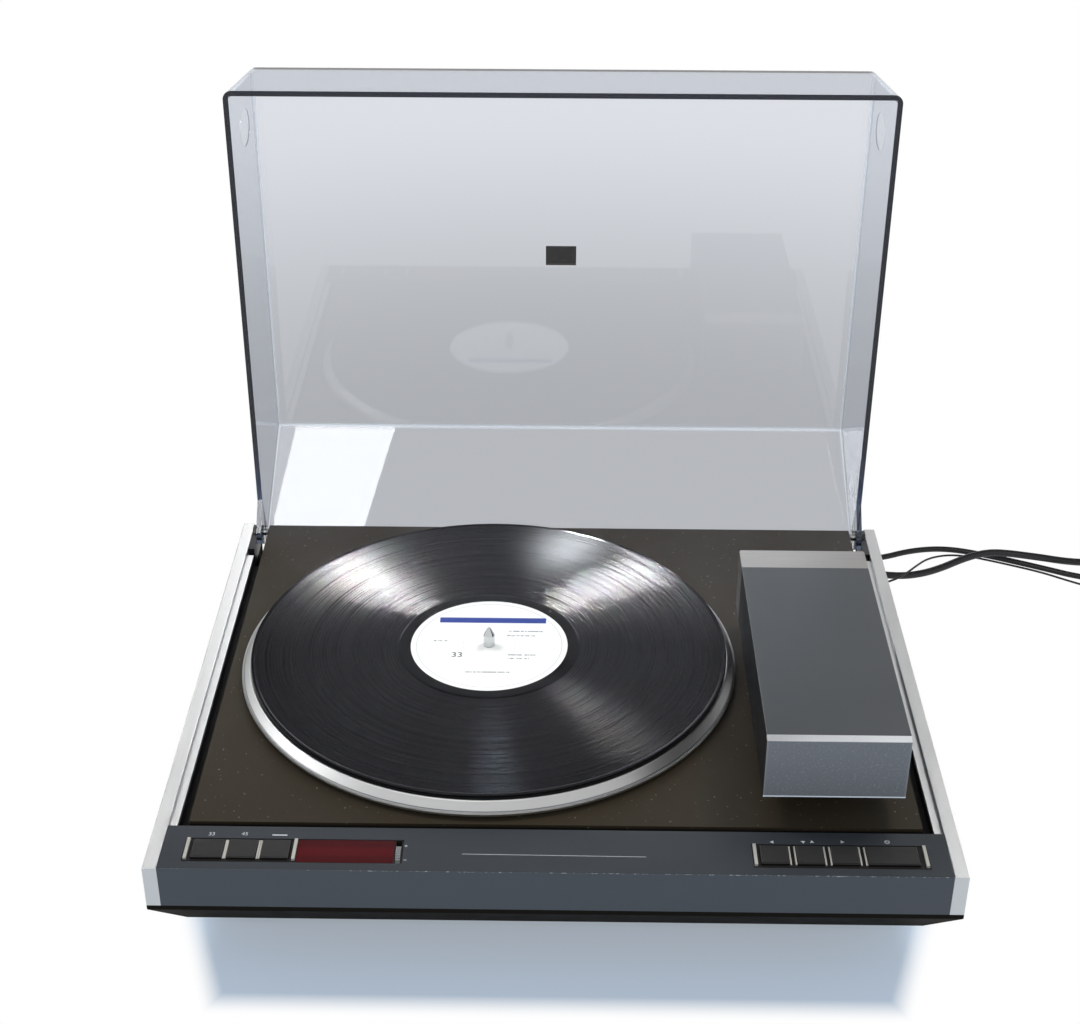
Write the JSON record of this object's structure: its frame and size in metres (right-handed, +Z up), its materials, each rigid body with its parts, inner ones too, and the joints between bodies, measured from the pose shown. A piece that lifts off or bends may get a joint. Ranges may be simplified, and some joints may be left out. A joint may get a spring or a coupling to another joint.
{
  "type": "turntable",
  "caption": "Low flat record player with a record on its platter, a box-shaped arm that swings over it, push buttons along the front, and a smoke-tinted hinged lid standing open.",
  "frame": {"origin": "on the table, under the middle of the turntable's footprint with its lid open", "axes": "+X to the right seen from the front, +Y to the back, +Z up"},
  "size_m": [0.7921, 0.5314, 0.3974],
  "materials": {
    "base_tray": "fine grain",
    "tray_screws": "zinc plated",
    "foot_cups": "fine grain",
    "foot_pads": "matt",
    "deck_frame": "matt",
    "deck_plate": "matt olive brown paint",
    "rails": "satin anodised",
    "rear_panel": "matt",
    "front_panel": "satin, worn along the fold",
    "panel_bezels": "matt",
    "trim_bars": "polished",
    "buttons": "satin",
    "display_window": "clear dark red",
    "circuit_boards": "lacquered",
    "fine_speed_wheel": "ribbed",
    "fine_speed_control": "moulded",
    "motor_stator": "plain",
    "bearing_sleeve": "turned",
    "motor_rotor": "turned",
    "spindle": "polished",
    "platter": "turned, polished rim",
    "platter_mat": "matt",
    "record": "grooved gloss",
    "record_label": "printed paper",
    "transformer": "varnished",
    "arm_post": "turned",
    "arm_chassis": "plain",
    "arm_cover": "satin dark grey",
    "arm_end_cap": "brushed",
    "guide_rods": "polished",
    "carriage": "moulded",
    "carriage_motor": "plain",
    "pulleys": "moulded",
    "drive_belt": "matt",
    "tonearm": "anodised",
    "cartridge": "moulded",
    "stylus": "moulded",
    "hinge_brackets": "black",
    "hinge_pins": "plain",
    "lid": "clear smoke grey",
    "lid_badge": "plain dark plate",
    "cord_reliefs": "moulded",
    "cords": "satin",
    "plugs": "moulded",
    "earth_lug": "tinned"
  },
  "bodies": {
    "base": {"base_tray": "base_tray", "tray_screws": "tray_screws", "foot_cups": "foot_cups", "foot_pads": "foot_pads", "deck_frame": "deck_frame", "deck_plate": "deck_plate", "left_rail": "rails", "right_rail": "rails", "rear_panel": "rear_panel", "front_panel": "front_panel", "panel_bezels": "panel_bezels", "trim_bars": "trim_bars", "display_window": "display_window", "panel_board": "circuit_boards", "fine_speed_control": "fine_speed_control", "motor_stator": "motor_stator", "bearing_sleeve": "bearing_sleeve", "transformer": "transformer", "main_board": "circuit_boards", "arm_post": "arm_post", "hinge_brackets": "hinge_brackets", "hinge_pins": "hinge_pins", "cord_reliefs": "cord_reliefs", "mains_lead": "cords", "mains_coil": "cords", "mains_plug": "plugs", "audio_lead": "cords", "audio_coil": "cords", "audio_plug": "plugs", "earth_wire": "cords", "earth_coil": "cords", "earth_lug": "earth_lug"},
    "lid": {"lid": "lid", "lid_badge": "lid_badge"},
    "platter": {"motor_rotor": "motor_rotor", "spindle": "spindle", "platter": "platter", "platter_mat": "platter_mat", "record": "record", "record_label": "record_label"},
    "arm_box": {"arm_chassis": "arm_chassis", "arm_cover": "arm_cover", "arm_end_cap": "arm_end_cap", "guide_rods": "guide_rods", "carriage_motor": "carriage_motor", "drive_belt": "drive_belt"},
    "carriage": {"carriage": "carriage"},
    "tonearm": {"tonearm": "tonearm", "cartridge": "cartridge", "stylus": "stylus"},
    "drive_pulley": {"drive_pulley": "pulleys"},
    "idler_pulley": {"idler_pulley": "pulleys"},
    "fine_speed_wheel": {"fine_speed_wheel": "fine_speed_wheel"},
    "speed_33_button": {"speed_33_button": "buttons"},
    "speed_45_button": {"speed_45_button": "buttons"},
    "fine_speed_button": {"fine_speed_button": "buttons"},
    "move_out_button": {"move_out_button": "buttons"},
    "lift_button": {"lift_button": "buttons"},
    "move_in_button": {"move_in_button": "buttons"},
    "power_button": {"power_button": "buttons"}
  },
  "joints": [
    {"name": "lid_hinge", "type": "hinge", "parent": "base", "child": "lid", "pos_m": [0, 0.1485, 0.07275], "axis": [1, 0, 0], "range_deg": [0, 90]},
    {"name": "platter_spin", "type": "hinge", "parent": "base", "child": "platter", "pos_m": [-0.04335, -0.01125, 0.08], "axis": [0, 0, 1], "continuous": true},
    {"name": "arm_swing", "type": "hinge", "parent": "base", "child": "arm_box", "pos_m": [0.15735, 0.01875, 0.11], "axis": [0, 0, 1], "range_deg": [-87.7, 0]},
    {"name": "carriage_slide", "type": "slide", "parent": "arm_box", "child": "carriage", "axis": [0, -1, 0], "range_m": [0, 0.0893]},
    {"name": "drive_pulley_spin", "type": "hinge", "parent": "arm_box", "child": "drive_pulley", "pos_m": [0.14035, -0.01228, 0.124], "axis": [0, 0, 1], "range_deg": [0, 770]},
    {"name": "idler_pulley_spin", "type": "hinge", "parent": "arm_box", "child": "idler_pulley", "pos_m": [0.14035, -0.14925, 0.124], "axis": [0, 0, 1], "range_deg": [0, 770]},
    {"name": "tonearm_lower", "type": "hinge", "parent": "carriage", "child": "tonearm", "pos_m": [0.14135, -0.03668, 0.103], "axis": [0, 1, 0], "range_deg": [0, 7.8]},
    {"name": "fine_speed_turn", "type": "hinge", "parent": "base", "child": "fine_speed_wheel", "pos_m": [-0.0869, -0.19675, 0.0669], "axis": [1, 0, 0], "range_deg": [-135, 135]},
    {"name": "speed_33_press", "type": "slide", "parent": "base", "child": "speed_33_button", "axis": [0, 0, -1], "range_m": [0, 0.002], "stiffness_N_per_m": 300},
    {"name": "speed_45_press", "type": "slide", "parent": "base", "child": "speed_45_button", "axis": [0, 0, -1], "range_m": [0, 0.002], "stiffness_N_per_m": 300},
    {"name": "fine_speed_press", "type": "slide", "parent": "base", "child": "fine_speed_button", "axis": [0, 0, -1], "range_m": [0, 0.002], "stiffness_N_per_m": 300},
    {"name": "move_out_press", "type": "slide", "parent": "base", "child": "move_out_button", "axis": [0, 0, -1], "range_m": [0, 0.002], "stiffness_N_per_m": 300},
    {"name": "lift_press", "type": "slide", "parent": "base", "child": "lift_button", "axis": [0, 0, -1], "range_m": [0, 0.002], "stiffness_N_per_m": 300},
    {"name": "move_in_press", "type": "slide", "parent": "base", "child": "move_in_button", "axis": [0, 0, -1], "range_m": [0, 0.002], "stiffness_N_per_m": 300},
    {"name": "power_press", "type": "slide", "parent": "base", "child": "power_button", "axis": [0, 0, -1], "range_m": [0, 0.002], "stiffness_N_per_m": 300}
  ],
  "couplings": [
    {"joint": "drive_pulley_spin", "follows": "carriage_slide", "rad_per_m": 149.25},
    {"joint": "idler_pulley_spin", "follows": "carriage_slide", "rad_per_m": 149.25}
  ]
}
